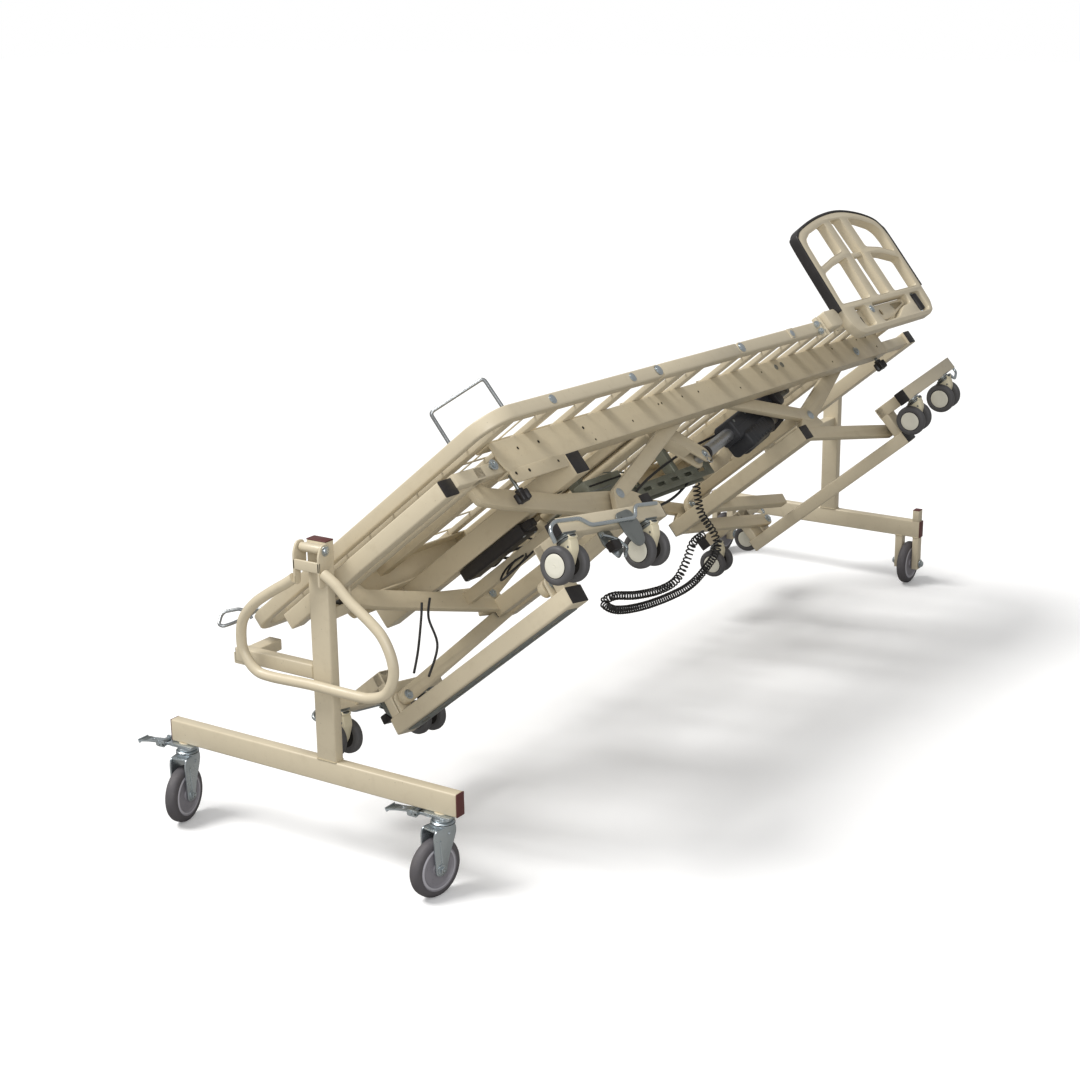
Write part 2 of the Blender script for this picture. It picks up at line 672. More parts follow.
def caster_pedal(name, x):
    pin = Vector((x - PEDAL_OUT, FRONT_MID, PLATE_Z + 4))
    part = Part(f"{name}_pedal", TROLLEY, ZINC)
    part.cyl(pin - Y * 20, pin + Y * 20, 5, seg=20)
    part.local = Matrix.Translation(pin) @ Matrix.Rotation(radians(-8), 4, "Y")
    part.plate(round_corners(PEDAL, 4), (-1.6, 1.6), "xy", 0.7, holes=[circle(5, 20, -30, 0)])
    part.sweep(fillet([(-57, -15, -0.5), (-63, -15, -4.5), (-65.4, -15, 3.4)], 2, 3), 1.3, seg=8)
    part.sweep([(-65, -15.4, 2.6), (-65, 15.4, 2.6)], 1.6, seg=10)
    for k in range(4):                  # grip ribs
        part.box((-62 + 5 * k, -60.4 + 5 * k), (-12, 12), (1.2, 2.2), rad=0.4, mat=DULL)
    part.done(f"{name}_pedal", "zinc", f"{name}_brake_pedal")


def caster_fork(name, turned):
    cheek_top = FORK_TOP - 8.6
    part = Part(f"{name}_fork", TROLLEY, ZINC)
    part.local = turned
    part.lathe((0, 0, FORK_TOP - 9), Z,
               [(0, 0), (24, 0), (25, 1), (25, 4), (23.6, 5.6), (25, 7), (23, 8.8), (0, 9)],
               seg=48)
    part.lathe((0, 0, FORK_TOP - 6.0), Z,
               [(23.9, 0), (25.1, 0.3), (25.1, 1.5), (23.9, 1.8), (23.9, 0)], HOLE, seg=48)
    part.plate(panel((-20, 20), (-(TRAIL + 14), 14), 9, 5), (FORK_TOP - 12, cheek_top), "xy", 0.9)
    cheek = round_corners(              # y, z
        [(16, cheek_top), (18, cheek_top - 12), (14, cheek_top - 26),
         (-(TRAIL - 24), AXLE_Z + 26), (-(TRAIL - 17), AXLE_Z + 4), (-(TRAIL - 14), AXLE_Z - 10),
         (-TRAIL, AXLE_Z - 16), (-(TRAIL + 14), AXLE_Z - 10), (-(TRAIL + 15), AXLE_Z + 8),
         (-(TRAIL + 17), AXLE_Z + 34), (-(TRAIL + 18), cheek_top - 14),
         (-(TRAIL + 14), cheek_top)], 9)
    for x, face in ((-20.6, -20.6), (16.4, 20.6)):
        part.plate(cheek, (x, x + 4.2), "yz", 1.1)
        part.sweep([(face, -(TRAIL - 2), AXLE_Z + 12), (face, -(TRAIL + 2), FORK_TOP - 32)],
                   2.2, seg=10)
    part.cyl((-28, -TRAIL, AXLE_Z), (28, -TRAIL, AXLE_Z), 5.4, seg=20, mat=DULL)
    for side in (-1, 1):
        part.bolt((side * 20.8, -TRAIL, AXLE_Z), side * X)
    for side in (1, -1):
        part.bolt((side * 21, -2, FORK_TOP - 24), side * X, 6, 1.6, washer=False, dome=True)
    part.done(f"{name}_fork", "zinc", f"{name}_caster_fork")


def caster_wheel(name, turned):
    part = Part(f"{name}_wheel", TROLLEY, HUB)
    part.local = turned
    large_wheel(part, (0, -TRAIL, AXLE_Z), 30)
    for side in (-1, 1):
        for k in range(5):              # round pads on the hub face
            a = radians(k * 72 + 20)
            y, z = -TRAIL + 27 * cos(a), AXLE_Z + 27 * sin(a)
            part.cyl((side * 11.0, y, z), (side * 11.35, y, z), 4.2, seg=18, edge=0.1)
    part.done(f"{name}_wheel", "tread", f"{name}_caster_wheel")


def front_casters():
    for name, x, yaw in FRONT_CASTERS:
        caster_mount(name, x)
        caster_pedal(name, x)
        turned = Matrix.Translation((x, FRONT_MID, 0)) @ Matrix.Rotation(radians(yaw), 4, "Z")
        caster_fork(name, turned)
        caster_wheel(name, turned)


# ---------------------------------------------------------------- trolley: rear stand
REAR_Y = REAR_FRONT, REAR_BACK = (2356, 2382)
REAR_MID = sum(REAR_Y) / 2
# name, wheel x, spans of the two legs beside it
REAR_WHEELS = (("rear_right_wheel", 338.5, ((-38.5, -16), (16, 35.5))),
               ("rear_left_wheel", -281.5, ((-35.5, -16), (16, 38.5))))


def rear_stand():
    part = Part("rear_stand", TROLLEY, BEIGE)
    part.box((-317, 374), REAR_Y, (144, 194), **TUBE)                       # crossbar
    part.box((-320, -317.2), inner(REAR_Y, 0.4), (144.4, 193.6), rad=1.1, mat=MAROON)
    part.box((54, 104), REAR_Y, (192, 558.5), **TUBE)                       # post
    part.box((54.3, 103.7), inner(REAR_Y, 0.3), (558, 560), rad=1.0, mat=MAROON)
    for _, middle, legs in REAR_WHEELS:
        for leg in legs:
            low, high = shift(leg, middle)
            part.box((low, high), REAR_Y, (46, 146), rad=3, edge=0.6)
            part.bead((low, REAR_FRONT - 0.1, 144), (high, REAR_FRONT - 0.1, 144), 1.6)
        part.cyl((middle - 44, REAR_MID, AXLE_Z), (middle + 44, REAR_MID, AXLE_Z), 5.4, seg=20,
                 mat=DULL)
        for side in (-1, 1):
            part.bolt((middle + side * 38.5, REAR_MID, AXLE_Z), side * X, 15, 6.5)
    part.box((352, 373), inner(REAR_Y, 0.2), (192, 226), rad=3, edge=0.4)   # upright stub
    part.box((352.4, 372.6), inner(REAR_Y, 0.6), (225.6, 228), mat=MAROON)
    part.box((64, 94), (2150, REAR_FRONT + 1), (452, 478), rad=3, edge=0.6)     # forward arm
    part.box((64, 94), (2150, 2158), (454, 512), rad=2.4)
    part.box((66, 92), (2160, 2200), (477.4, 478.6), rad=0.4, mat=BLACK)
    part.bead((54, REAR_FRONT - 0.1, 194.4), (104, REAR_FRONT - 0.1, 194.4))
    part.bead((54, REAR_BACK, 194.4), (104, REAR_BACK, 194.4))
    part.bead((104, REAR_FRONT, 194.4), (104, REAR_BACK, 194.4))
    part.bead((64, REAR_FRONT, 478.4), (94, REAR_FRONT, 478.4), 1.5)
    part.done("frame", "beige")


def rear_wheels():
    for name, middle, _ in REAR_WHEELS:
        part = Part(name, TROLLEY, TREAD)
        large_wheel(part, (middle, REAR_MID, AXLE_Z), 28)
        part.done(name, "tread")


# ---------------------------------------------------------------- bed: lying sections
RAIL = 25                           # width of the side rails
RAIL_Z = 15                         # their middle
FOOT_HINGE, HEAD_HINGE = 615, 985   # x of the hinge pins
WIRE_PITCH = 82
WIRES_Y = [90.5 + WIRE_PITCH * k for k in range(9)]


def bent_rail(part, open_x, end_x, bend):
    """U-shaped rail from one side of the bed, round the end, to the other."""
    ends = [RAIL / 2, BED_WIDE - RAIL / 2]
    centres = [bend, BED_WIDE - bend]
    centre_x, start = end_x + bend, 270
    if end_x > open_x:
        ends.reverse()
        centres.reverse()
        centre_x, start = end_x - bend, 90
    radius = bend - RAIL / 2
    path = [(open_x, ends[0], RAIL_Z)]
    for centre_y, angle in zip(centres, (start, start - 90)):
        for a in np.linspace(angle, angle - 90, 12):
            path.append((centre_x + radius * cos(radians(a)),
                         centre_y + radius * sin(radians(a)), RAIL_Z))
    path.append((open_x, ends[1], RAIL_Z))
    part.sweep(path, profile=rounded_rect(RAIL, 30, 3.6, 4), up=Z)


def hinge_eyes(part, x):
    for y in (0, BED_WIDE - RAIL):
        part.lathe((x, y, RAIL_Z), Y, [(6.4, 0), (13.8, 0), (14.9, 1), (14.9, 24), (13.8, 25),
                                       (6.4, 25), (6.4, 0)], seg=40)


def slats(part, stations):
    for middle in stations:
        low, high = about(middle, 15)
        part.box((low, high), (21, BED_WIDE - 21), (4, 16), rad=2.2, edge=0.3)
        for y in (25.2, BED_WIDE - 25.2):
            part.bead((low, y, 16), (high, y, 16), 1.3)


def wire_mesh(part, start, end, cross, hook_x, toward):
    """Long wires, cross wires, and a row of hooks pointing toward one end (-1 foot, 1 head)."""
    for y in WIRES_Y:
        part.sweep([(start, y, 2.4), (end, y, 2.4)], 2.1, seg=8)
    for x in cross:
        part.sweep([(x, 62, 2.2), (x, BED_WIDE - 62, 2.2)], 1.8, seg=8)
    between = WIRE_PITCH / 2
    for y in WIRES_Y + [WIRES_Y[0] - between] + [wire + between for wire in WIRES_Y]:
        hook = [(hook_x, y, 2.4), (hook_x + toward * 9, y - 4, 2.4),
                (hook_x + toward * 17, y - 15, 4), (hook_x + toward * 24, y - 15, 8)]
        part.sweep(fillet(hook, 3, 3), 1.7, seg=8)


def leg_section():
    part = Part("leg_section", BED, BEIGE)
    bent_rail(part, FOOT_HINGE - 0.5, 0, bend=72)
    hinge_eyes(part, FOOT_HINGE)
    slats(part, (130, 275, 420, 565))
    wire_mesh(part, 44, 575, (44, 222, 345, 490), hook_x=44, toward=-1)
    for side, y in ((-1, -0.3), (1, BED_WIDE + 0.3)):
        for x in (209, 509):
            part.bolt((x, y, RAIL_Z), side * Y, 12, 1.9, dome=True)
    part.box((24, 36), (692, 708), (-1.2, 0.4), rad=0.5)
    part.done("leg", "beige")


def seat_section():
    part = Part("seat_section", BED, BEIGE)
    for side in (-1, 1):
        part.box((631, 969), mirror_span(side, BED_WIDE - RAIL, BED_WIDE), (0, 30), rad=3.6,
                 edge=0.5)
        for pin, low, high in ((FOOT_HINGE, FOOT_HINGE, 669), (HEAD_HINGE, 931, HEAD_HINGE)):
            part.plate(slot_outline((low, RAIL_Z), (high, RAIL_Z), 22, 8),
                       mirror_span(side, 807, 812.5), bevel=1)
            y0, y1 = mirror_span(side, 808, 842)
            part.cyl((pin, y0, RAIL_Z), (pin, y1, RAIL_Z), 6, seg=20, mat=DULL)
            part.bolt((pin, mirror(side, BED_WIDE + 0.4), RAIL_Z), side * Y, 14, 3.4, dome=True)
    slats(part, (700, 790, 880))
    for x in (745, 835):
        part.sweep([(x, 22, 8), (x, BED_WIDE - 22, 8)], 2.4, seg=8)
    for y in WIRES_Y:
        part.sweep([(690, y, 2.0), (890, y, 2.0)], 1.9, seg=8)
    part.done("frame", "beige")


def back_section():
    part = Part("back_section", BED, BEIGE)
    bent_rail(part, HEAD_HINGE + 0.5, BED_LONG, bend=50)
    hinge_eyes(part, HEAD_HINGE)
    slats(part, (1045, 1145, 1245, 1345, 1445, 1545, 1645, 1745, 1845, 1930))
    wire_mesh(part, 1030, 1950, (1095, 1295, 1495, 1695, 1888), hook_x=1950, toward=1)
    # guard clamp on the raised side
    part.plate(round_corners([(1392, -10), (1450, -10), (1458, 4), (1458, 26), (1448, 36),
                              (1392, 36)], 6), (837.5, 864), bevel=2)
    part.box((1440, 1530), (837, 845.7), (3, 40), rad=1.5)
    for x in (1366, 1384):
        part.plate(panel((x, x + 5), (-6, 46), 1, 2), (837, 850))
    for z in (30, 10):
        part.cyl((1366, 843, z), (1392, 843, z), 4, seg=16, mat=ZINC)
    for z in (30, 10):
        part.bolt((1366, 843, z), -X, 10, 4)
    part.bolt((1236, BED_WIDE + 0.2, 15), Y, 14, 3, dome=True)
    part.box((1222, 1250), (837, 840), (0.6, 26), rad=1)
    part.bolt((1499, 845.5, 20), Y, 12, 0.4, dome=True)
    part.bolt((1800, BED_WIDE + 0.2, 20), Y, 12, 2.5, dome=True)
    part.done("back", "beige")


# ---------------------------------------------------------------- bed: sub-frame
CHANNEL_Y = 700         # outer face of the side channels
CHANNEL_HOLES = (       # x, z, radius in the channel's web
    (216, 43, 3.2), (290, 43, 3.6), (458, 42, 3.6), (475, 75, 2.6), (876, 39, 2.8),
    (950, 39, 2.8), (769, 40, 2.6), (783, 40, 2.6), (1262, 38, 2.4), (1660, 32, 2.6),
    (1868, 27, 2.6), (1813, 27, 2.6), (1896, 62, 3.2), (1620, 66, 2.6), (1130, 60, 2.6),
    (640, 60, 2.6))
WEB_HOLES = ((209, 95, 4.0), (165, 93, 3.6), (313, 95, 3.2))   # the same, in the foot-end plate


def sub_frame():
    part = Part("sub_frame", BED, UNDER)
    for side in (1, -1):
        # C channel, open towards the middle, with its foot end cut away
        web = [(138, 16.3), (1938, 16.3), (1938, 86), (150, 86), (146, 82), (138, 60)]
        part.plate(round_corners(web, 4, 3), mirror_span(side, 696, CHANNEL_Y), bevel=0.9)
        for start, zs in ((138, (16.3, 20.3)), (152, (82, 86))):
            part.box((start, 1938), mirror_span(side, 660, 699), zs, rad=1.0)
        plate = [(150, 82), (342, 82), (342, 108), (338, 112), (158, 112), (150, 100)]
        part.plate(round_corners(plate, 4, 3), mirror_span(side, 695.4, 700.6), bevel=1.0)
        face = mirror(side, CHANNEL_Y)
        for x, z, radius in CHANNEL_HOLES:
            part.hole((x, face, z), side * Y, radius)
        for x, z, radius in WEB_HOLES:
            part.hole((x, mirror(side, 700.6), z), side * Y, radius)
        for x, z in ((1341, 36), (1374, 34)):
            part.lathe((x, face - side * 0.2, z), side * Y,
                       [(0, 0), (7.5, 0), (7.5, 0.8), (4.5, 1.0), (3.4, 0.5), (0, 0.5)],
                       DULL, seg=20)
    for xs in ((300, 335), (596, 634), (842, 878), (968, 1004), (1500, 1540), (1650, 1680)):
        part.box(xs, (140, 698), (18.3, 44), rad=3, edge=0.3)
    part.box((345, 395), (40, 700), (84.5, 136), rad=4, edge=0.6)
    part.box((346.5, 393.5), (699.6, 701.4), (86, 134.5), rad=1, mat=BLACK)
    for x, y, radius in ((352, 600, 6), (370, 200, 6), (370, 620, 8)):
        part.hole((x, y, 136.1), Z, radius)
    for x in (344.8, 395.2):
        part.bead((x, 660, 87), (x, 697, 87), 1.8)
    part.done("frame", "beige")


def foot_end_frame():
    part = Part("foot_end_frame", BED, BEIGE)
    part.box((-42, -2), (158, 678.5), (55, 91), rad=3.4, edge=0.5)
    for side in (1, -1):
        part.box((-4, 149), mirror_span(side, 664, 692), (52, 80), rad=3, edge=0.5)
        y = mirror(side, 663.6)
        part.bead((-2, y, 53), (-2, y, 79))
    part.box((60, 86), (146, 692), (54, 80), rad=3, edge=0.5)
    part.box((-41, -3), (156.6, 158.4), (56, 90), rad=1, mat=BLACK)
    part.box((61, 85), (144.6, 146.4), (55, 79), rad=1, mat=BLACK)
    part.done("frame", "beige")


def foot_end_tube_cap():
    part = Part("foot_end_tube_cap", BED, BLACK)
    part.box((-42, -2.4), (678.8, 684), (55, 91), rad=2.2, edge=1.6)
    part.done("frame", "black")


def head_end_frame():
    part = Part("head_end_frame", BED, BEIGE)
    part.box((2092, 2130), (129.5, 698.5), (44, 82), rad=3.4, edge=0.5)
    for ys in ((128, 130), (698, 700)):
        part.box((2093, 2129), ys, (45, 81), rad=1, mat=BLACK)
    for side in (1, -1):
        low, high = mirror_span(side, 664, 692)
        part.box((1830, 2096), (low, high), (50, 78), rad=3, edge=0.5)
        part.bead((2091.6, low, 51), (2091.6, low, 77))
        part.bead((2091.6, low, 50), (2091.6, high, 50))
    part.done("frame", "beige")


def lock_knob(end, x, top):
    """Five-lobed knob, 22 mm deep, on a stud below the sub-frame."""
    y, bottom = 680, top + 22
    part = Part(f"{end}_knob", BED, BLACK)
    part.cyl((x, y, 86.3), (x, y, top), 4, seg=16, mat=DULL)
    part.cyl((x, y, top - 6), (x, y, top + 2), 9)
    outline = []
    for i in range(72):
        t = i / 72 * 2 * pi
        radius = 14.2 + 2.8 * cos(5 * t)
        outline.append((x + radius * cos(t), y + radius * sin(t)))
    part.plate(outline, (top, bottom), "xy", 3)
    part.lathe((x, y, bottom - 0.6), Z, [(0, 0.5), (5, 0.5), (6, 0), (0, 0)], HOLE, seg=20)
    part.done(f"{end}_knob", "black", f"{end}_lock_knob")


# ---------------------------------------------------------------- scissor lifts
class Lift:
    """Sizes of one lift; points are x, z in the bed frame.

    toward      1 when the arms run to the head end, -1 to the foot end
    pivot       pin of the links on the sub-frame
    half_arm    from that pin to the crossing of the arms, rising at slope degrees
    cross_x     where the link's cross tube lies from the crossing
    brace_*     spans of the bar between the links, from the crossing
    tilt        of the base about its pin; the spans below are in the tilted frame
    beam_*      spans of the base's cross beam
    foot_*      span of the foot bars and their upper face
    casters     x of the twin casters
    """

    def __init__(self, name, toward, pivot, half_arm, slope, cross_x, brace_x, brace_z, tilt,
                 beam_x, beam_z, foot_x, foot_z, casters):
        self.name, self.toward, self.pivot = name, toward, pivot
        self.brace_x, self.brace_z = brace_x, brace_z
        self.beam_x, self.beam_z = beam_x, beam_z
        self.foot_x, self.foot_z, self.casters = foot_x, foot_z, casters
        run, rise = half_arm * cos(radians(slope)), half_arm * sin(radians(slope))
        self.crossing = (pivot[0] + toward * run, pivot[1] + rise)
        self.base_pin = (pivot[0], pivot[1] + 2 * rise)
        self.slider = (pivot[0] + toward * 2 * run, pivot[1])
        self.link_tube = self.from_crossing(cross_x, 34)
        self.arm_tube = self.from_crossing(72, 38)
        self.tilted = (Matrix.Translation((self.base_pin[0], 0, self.base_pin[1]))
                       @ Matrix.Rotation(radians(-tilt), 4, "Y"))

    def from_crossing(self, x, z):
        return self.crossing[0] + self.toward * x, self.crossing[1] + z


LIFTS = (
    Lift("foot", toward=1, pivot=(115, 62), half_arm=415, slope=18.2, cross_x=13,
         brace_x=(-94, -64), brace_z=(-24, 4), tilt=7, beam_x=(-18, 34), beam_z=(24, 62),
         foot_x=(-80, 268), foot_z=-78, casters=(-56, 212)),
    Lift("head", toward=-1, pivot=(1770, 58), half_arm=350, slope=18.5, cross_x=14,
         brace_x=(62, 92), brace_z=(-40, -12), tilt=-6.7, beam_x=(-52, 2), beam_z=(22, 56),
         foot_x=(-112, 246), foot_z=-66, casters=(-60, 172)))


def cross_tube(part, place, reach, lip):
    """Square tube across the bed with a black cap on either end."""
    x, z = place
    part.box(about(x, 19), (BED_WIDE - reach, reach), about(z, 19), rad=3, edge=0.4)
    for side in (-1, 1):
        part.box(about(x, 18.6), mirror_span(side, reach - 0.5, reach + lip), about(z, 18.6),
                 rad=1.6, mat=BLACK)


def link_outline(lift):
    (px, pz), (mx, mz), (tx, tz) = lift.pivot, lift.crossing, lift.link_tube
    if lift.toward > 0:
        return [(95, 62), (98, 46), (115, 42), (132, 48), (145, 80), (341, 140), (415, 154),
                (mx + 8, mz - 19), (mx + 20, mz - 6), (tx + 20, tz - 8), (tx + 16, tz + 12),
                (tx - 10, tz + 10), (175, 134), (103, 107)]
    return [(px + 14, pz + 14), (px + 19, pz + 2), (px + 12, pz - 15), (px - 4, pz - 19),
            (mx - 4, mz - 20), (mx - 18, mz - 6), (tx - 18, tz - 4), (tx - 10, tz + 14),
            (tx + 12, tz + 14), (mx + 24, mz + 22)]


def lift_links(lift):
    (px, pz), (mx, mz) = lift.pivot, lift.crossing
    part = Part(f"{lift.name}_links", BED, UNDER)
    for side in (1, -1):
        part.plate(round_corners(link_outline(lift), 9), mirror_span(side, 618, 634), bevel=2.2,
                   holes=[circle(6.4, 20, mx, mz)])
        part.cyl((px, mirror(side, 620), pz), (px, mirror(side, 704), pz), 6, seg=20, mat=DULL)
        part.bolt((px, mirror(side, 700.3), pz), side * Y, 14, 4.4)
    cross_tube(part, lift.link_tube, reach=634, lip=2.4)
    part.box(shift(lift.brace_x, mx), (BED_WIDE - 620, 620), shift(lift.brace_z, mz), rad=3)
    part.done(f"{lift.name}_links", "beige", f"{lift.name}_lift_links")


def lift_arms(lift):
    (mx, mz), (sx, sz), (px, pz) = lift.crossing, lift.slider, lift.base_pin
    tube_x, tube_z = lift.arm_tube
    part = Part(f"{lift.name}_arms", BED, UNDER)
    web = [lift.from_crossing(x, z)
           for x, z in ((-14, -10), (20, -12), (84, 26), (72, 52), (-40, 30))]
    for side in (1, -1):
        ys = mirror_span(side, 640, 656)
        part.plate(slot_outline(lift.slider, lift.crossing, 34, 10), ys, bevel=2.2)
        part.plate(slot_outline(lift.arm_tube, lift.base_pin, 34, 10), ys, bevel=2.2,
                   holes=[circle(6.4, 20, px, pz)])
        part.plate(round_corners(web, 6, 3), inner(ys, 0.6), bevel=1.4)
        part.cyl((sx, mirror(side, 654), sz), (sx, mirror(side, 694), sz), 12.8, seg=32,
                 mat=BLACK)
        part.cyl((mx, mirror(side, 615), mz), (mx, mirror(side, 658.5), mz), 6, seg=20,
                 mat=DULL)
        part.bolt((mx, mirror(side, 656), mz), side * Y, 14, 1.2, dome=True)
        part.bolt((mx, mirror(side, 617.6), mz), -side * Y, 13, 5)
    cross_tube(part, lift.arm_tube, reach=656, lip=2.6)
    if lift.toward < 0:                 # brace from the cross tube towards the base
        along = Vector((px - tube_x, 0, pz - tube_z)).normalized()
        end_x = px - 60
        end_z = tube_z + (end_x - tube_x) * along.z / along.x
        part.prism(rounded_rect(26, 30, 3), (tube_x, 300, tube_z), (end_x, 300, end_z), edge=0.6)
    part.done(f"{lift.name}_arms", "beige", f"{lift.name}_lift_arms")


def foot_linkage(part, lift, side):
    """Rod and plates beside the foot bar of the foot-end lift."""
    top = lift.foot_z
    first, last = lift.casters
    out, rod_y = mirror(side, 808.5), mirror(side, 808.5) + side * 3
    middle = top + 16
    rod = [(first - 46, mirror(side, 796), middle + 30), (first - 60, out, middle + 8),
           (first - 40, rod_y, middle - 6), (first + 40, rod_y, middle - 4),
           (first + 62, rod_y, middle + 14), (last - 60, rod_y, middle + 14),
           (last - 42, rod_y, middle - 12), (last + 30, rod_y, middle - 10)]
    part.sweep(fillet(rod, 12), 4.2, seg=14, mat=ZINC)
    outer_plate = [(96, top + 14), (150, top + 6), (162, top + 44), (148, top + 84),
                   (118, top + 92), (98, top + 60)]
    part.plate(round_corners(outer_plate, 14, 5), mirror_span(side, 806.5, 809.5),
               holes=[circle(3.4, 14, 112, top + 26)], mat=DULL)
    inner_plate = [(60, top + 30), (100, top + 34), (112, top + 80), (84, top + 96),
                   (58, top + 62)]
    part.plate(round_corners(inner_plate, 6, 3), mirror_span(side, 776, 779),
               holes=[circle(7, 16, 84, top + 60)], mat=DULL)
    for x, z in ((66, 40), (92, 58), (80, 84)):
        part.bolt((x, mirror(side, 779.5), top + z), side * Y, 9, 4)
    bent = [(60, mirror(side, 786), top + 44), (92, mirror(side, 790), top + 58),
            (116, mirror(side, 786), top + 78), (96, mirror(side, 784), top + 96)]
    part.sweep(fillet(bent, 8, 4), 3.0, seg=10, mat=ZINC)
    part.box((60, 84), mirror_span(side, 780, 800), (top + 62, top + 82), rad=3, mat=BLACK)


def lift_base(lift):
    beam_x, (beam_top, beam_low), top = lift.beam_x, lift.beam_z, lift.foot_z
    start, end = lift.foot_x
    post_x = inner(beam_x, 4)
    part = Part(f"{lift.name}_base", BED, BEIGE)
    part.local = lift.tilted
    part.box(beam_x, (BED_WIDE - 702, 702), lift.beam_z, rad=4, edge=0.6)
    if lift.toward > 0:                 # slotted channel under the foot beam
        part.plate(panel(inner(beam_x, 10), (160, 676), 3, 3), (beam_low + 0.2, beam_low + 2.6),
                   "xy", 0.6, mat=DULL,
                   holes=[panel(inner(beam_x, 20), (y, y + 26), 3, 2)
                          for y in range(190, 650, 60)])
    for side in (1, -1):
        bar_y = mirror_span(side, 774, 804)
        part.box(inner(lift.foot_x, 3), bar_y, (top, top + 34), rad=3.4, edge=0.4)  # foot bar
        for xs in ((start, start + 3.4), (end - 3.4, end)):
            part.box(xs, inner(bar_y, 0.3), (top + 0.3, top + 33.7), rad=1.6, edge=1.2,
                     mat=BLACK)
        part.box(post_x, mirror_span(side, 676, 776), (top + 2, top + 32), rad=3, edge=0.4)
        part.box(post_x, mirror_span(side, 676, 700), (top + 3, beam_top + 4), rad=3, edge=0.4)
        part.box(inner(beam_x, 1), mirror_span(side, 700, 703.5), inner(lift.beam_z, 1),
                 rad=1.4, mat=BLACK)
        weld_x, weld_y = beam_x[0] + 3.6, mirror(side, 773.6)
        part.bead((weld_x, weld_y, top + 3), (weld_x, weld_y, top + 31))
        weld_y = mirror(side, 700.4)
        part.bead((post_x[0], weld_y, beam_top), (post_x[1], weld_y, beam_top))
        lug = [(-18, 30), (-18, -8), (-10, -17), (10, -17), (18, -8), (18, 30)]
        part.plate(round_corners(lug, 6), mirror_span(side, 662, 668), bevel=1.2)
        part.cyl((0, mirror(side, 636), 0), (0, mirror(side, 664), 0), 6, seg=20, mat=DULL)
        part.bolt((0, mirror(side, 639.6), 0), -side * Y, 13, 5)
        part.bolt((0, mirror(side, 668), 0), side * Y, 13, 3, dome=True)
        middle = mirror(side, 789)
        for x in lift.casters:          # collars over the casters
            part.plate(panel(about(x, 22), about(middle, 16), 6), (top + 31.8, top + 34.1),
                       "xy", 0.6, mat=DULL)
        if lift.toward > 0:
            foot_linkage(part, lift, side)
        else:                           # bent rod at the end of the foot bar
            rod = [(end - 8, middle, top + 4), (end + 14, middle, top + 12),
                   (end + 22, middle, top + 46), (end - 16, middle, top + 60),
                   (end - 24, middle, top + 40)]
            part.sweep(fillet(rod, 10), 3.6, mat=ZINC)
    part.done(f"{lift.name}_base", "beige")


TWIN_TRAIL = 30
TWIN_WHEEL = [      # radius, height out from the inner face
    (0, 0), (24, 0), (26, 0), (31, 0), (34, 1.0), (36.8, 3.0), (38, 6.2), (38, 13), (37, 16.2),
    (34.6, 18.6), (30.5, 19.6), (26.4, 19.4), (25.2, 18.4), (24.4, 18), (23.6, 19),
    (22.4, 19.6), (14, 19.9), (5, 20), (0, 20)]
TWIN_WHEEL_MATS = [HOLE] + [RIM] * 11 + [HOLE] * 2 + [CAP] * 4


def twin_caster(name, local, top):
    """Hooded caster with two wheels; top is where its stem leaves the foot bar."""
    axle = top + 44
    part = Part(name, BED, CREAM)
    part.local = local
    part.lathe((0, 0, top), Z, [(0, 0), (15, 0), (15, 3), (19.5, 3.4), (20.5, 5), (20.5, 9),
                                (18, 12), (0, 12)], DULL, seg=36)
    part.lathe((0, 0, top + 6.5), Z, [(19, 0), (21.2, 0.4), (21.2, 2), (19, 2.4), (19, 0)],
               HOLE, seg=36)
    hood = [(14, top + 7), (16, top + 17), (8, top + 34), (-TWIN_TRAIL + 13, top + 54),
            (-TWIN_TRAIL, top + 59), (-TWIN_TRAIL - 13, top + 55), (-TWIN_TRAIL - 17, top + 40),
            (-TWIN_TRAIL - 8, top + 27), (-15, top + 17), (-16, top + 7)]
    part.plate(round_corners(hood, 5), (-12.5, 12.5), "yz", 2.6,
               holes=[circle(6.4, 20, -TWIN_TRAIL, axle)])
    lip = [(18, top + 4), (19, top + 13), (9, top + 14), (0, top + 11), (-14, top + 4)]
    part.plate(round_corners(lip, 2.5, 3), (-13, 13), "yz", 2)
    part.cyl((-13, 4, top + 24), (13, 4, top + 24), 2.6, seg=14, mat=DULL)
    part.bolt((-12.5, -6, top + 32), -X, 6, 1.0, washer=False, dome=True)
    part.done(name, "cream")

    part = Part(name + "_wheels", BED, CAP)
    part.local = local
    part.cyl((-30, -TWIN_TRAIL, axle), (30, -TWIN_TRAIL, axle), 6, seg=20, mat=DULL)
    for side in (-1, 1):
        part.lathe((side * 14, -TWIN_TRAIL, axle), side * X, TWIN_WHEEL, TWIN_WHEEL_MATS)
        part.lathe((side * (14 + 19.6), -TWIN_TRAIL, axle), side * X,
                   [(0, 0), (3.6, 0), (3.6, 0.8), (2.4, 0.8), (1.8, 0.5), (0, 0.5)], seg=20)
    part.done(name + "_wheels", "rim")


def lift_casters(lift):
    for side, word in ((1, "near"), (-1, "far")):
        for letter, x in zip("ab", lift.casters):
            local = lift.tilted @ Matrix.Translation((x, mirror(side, 789), 0))
            twin_caster(f"{lift.name}_{word}_caster_{letter}", local, lift.foot_z + 34.3)


# ---------------------------------------------------------------- leg drive
LEVER_ROOT = (864, 64)      # x, z
LEVER_TIP = (968, 160)
MOTOR_END = (1500, 66)


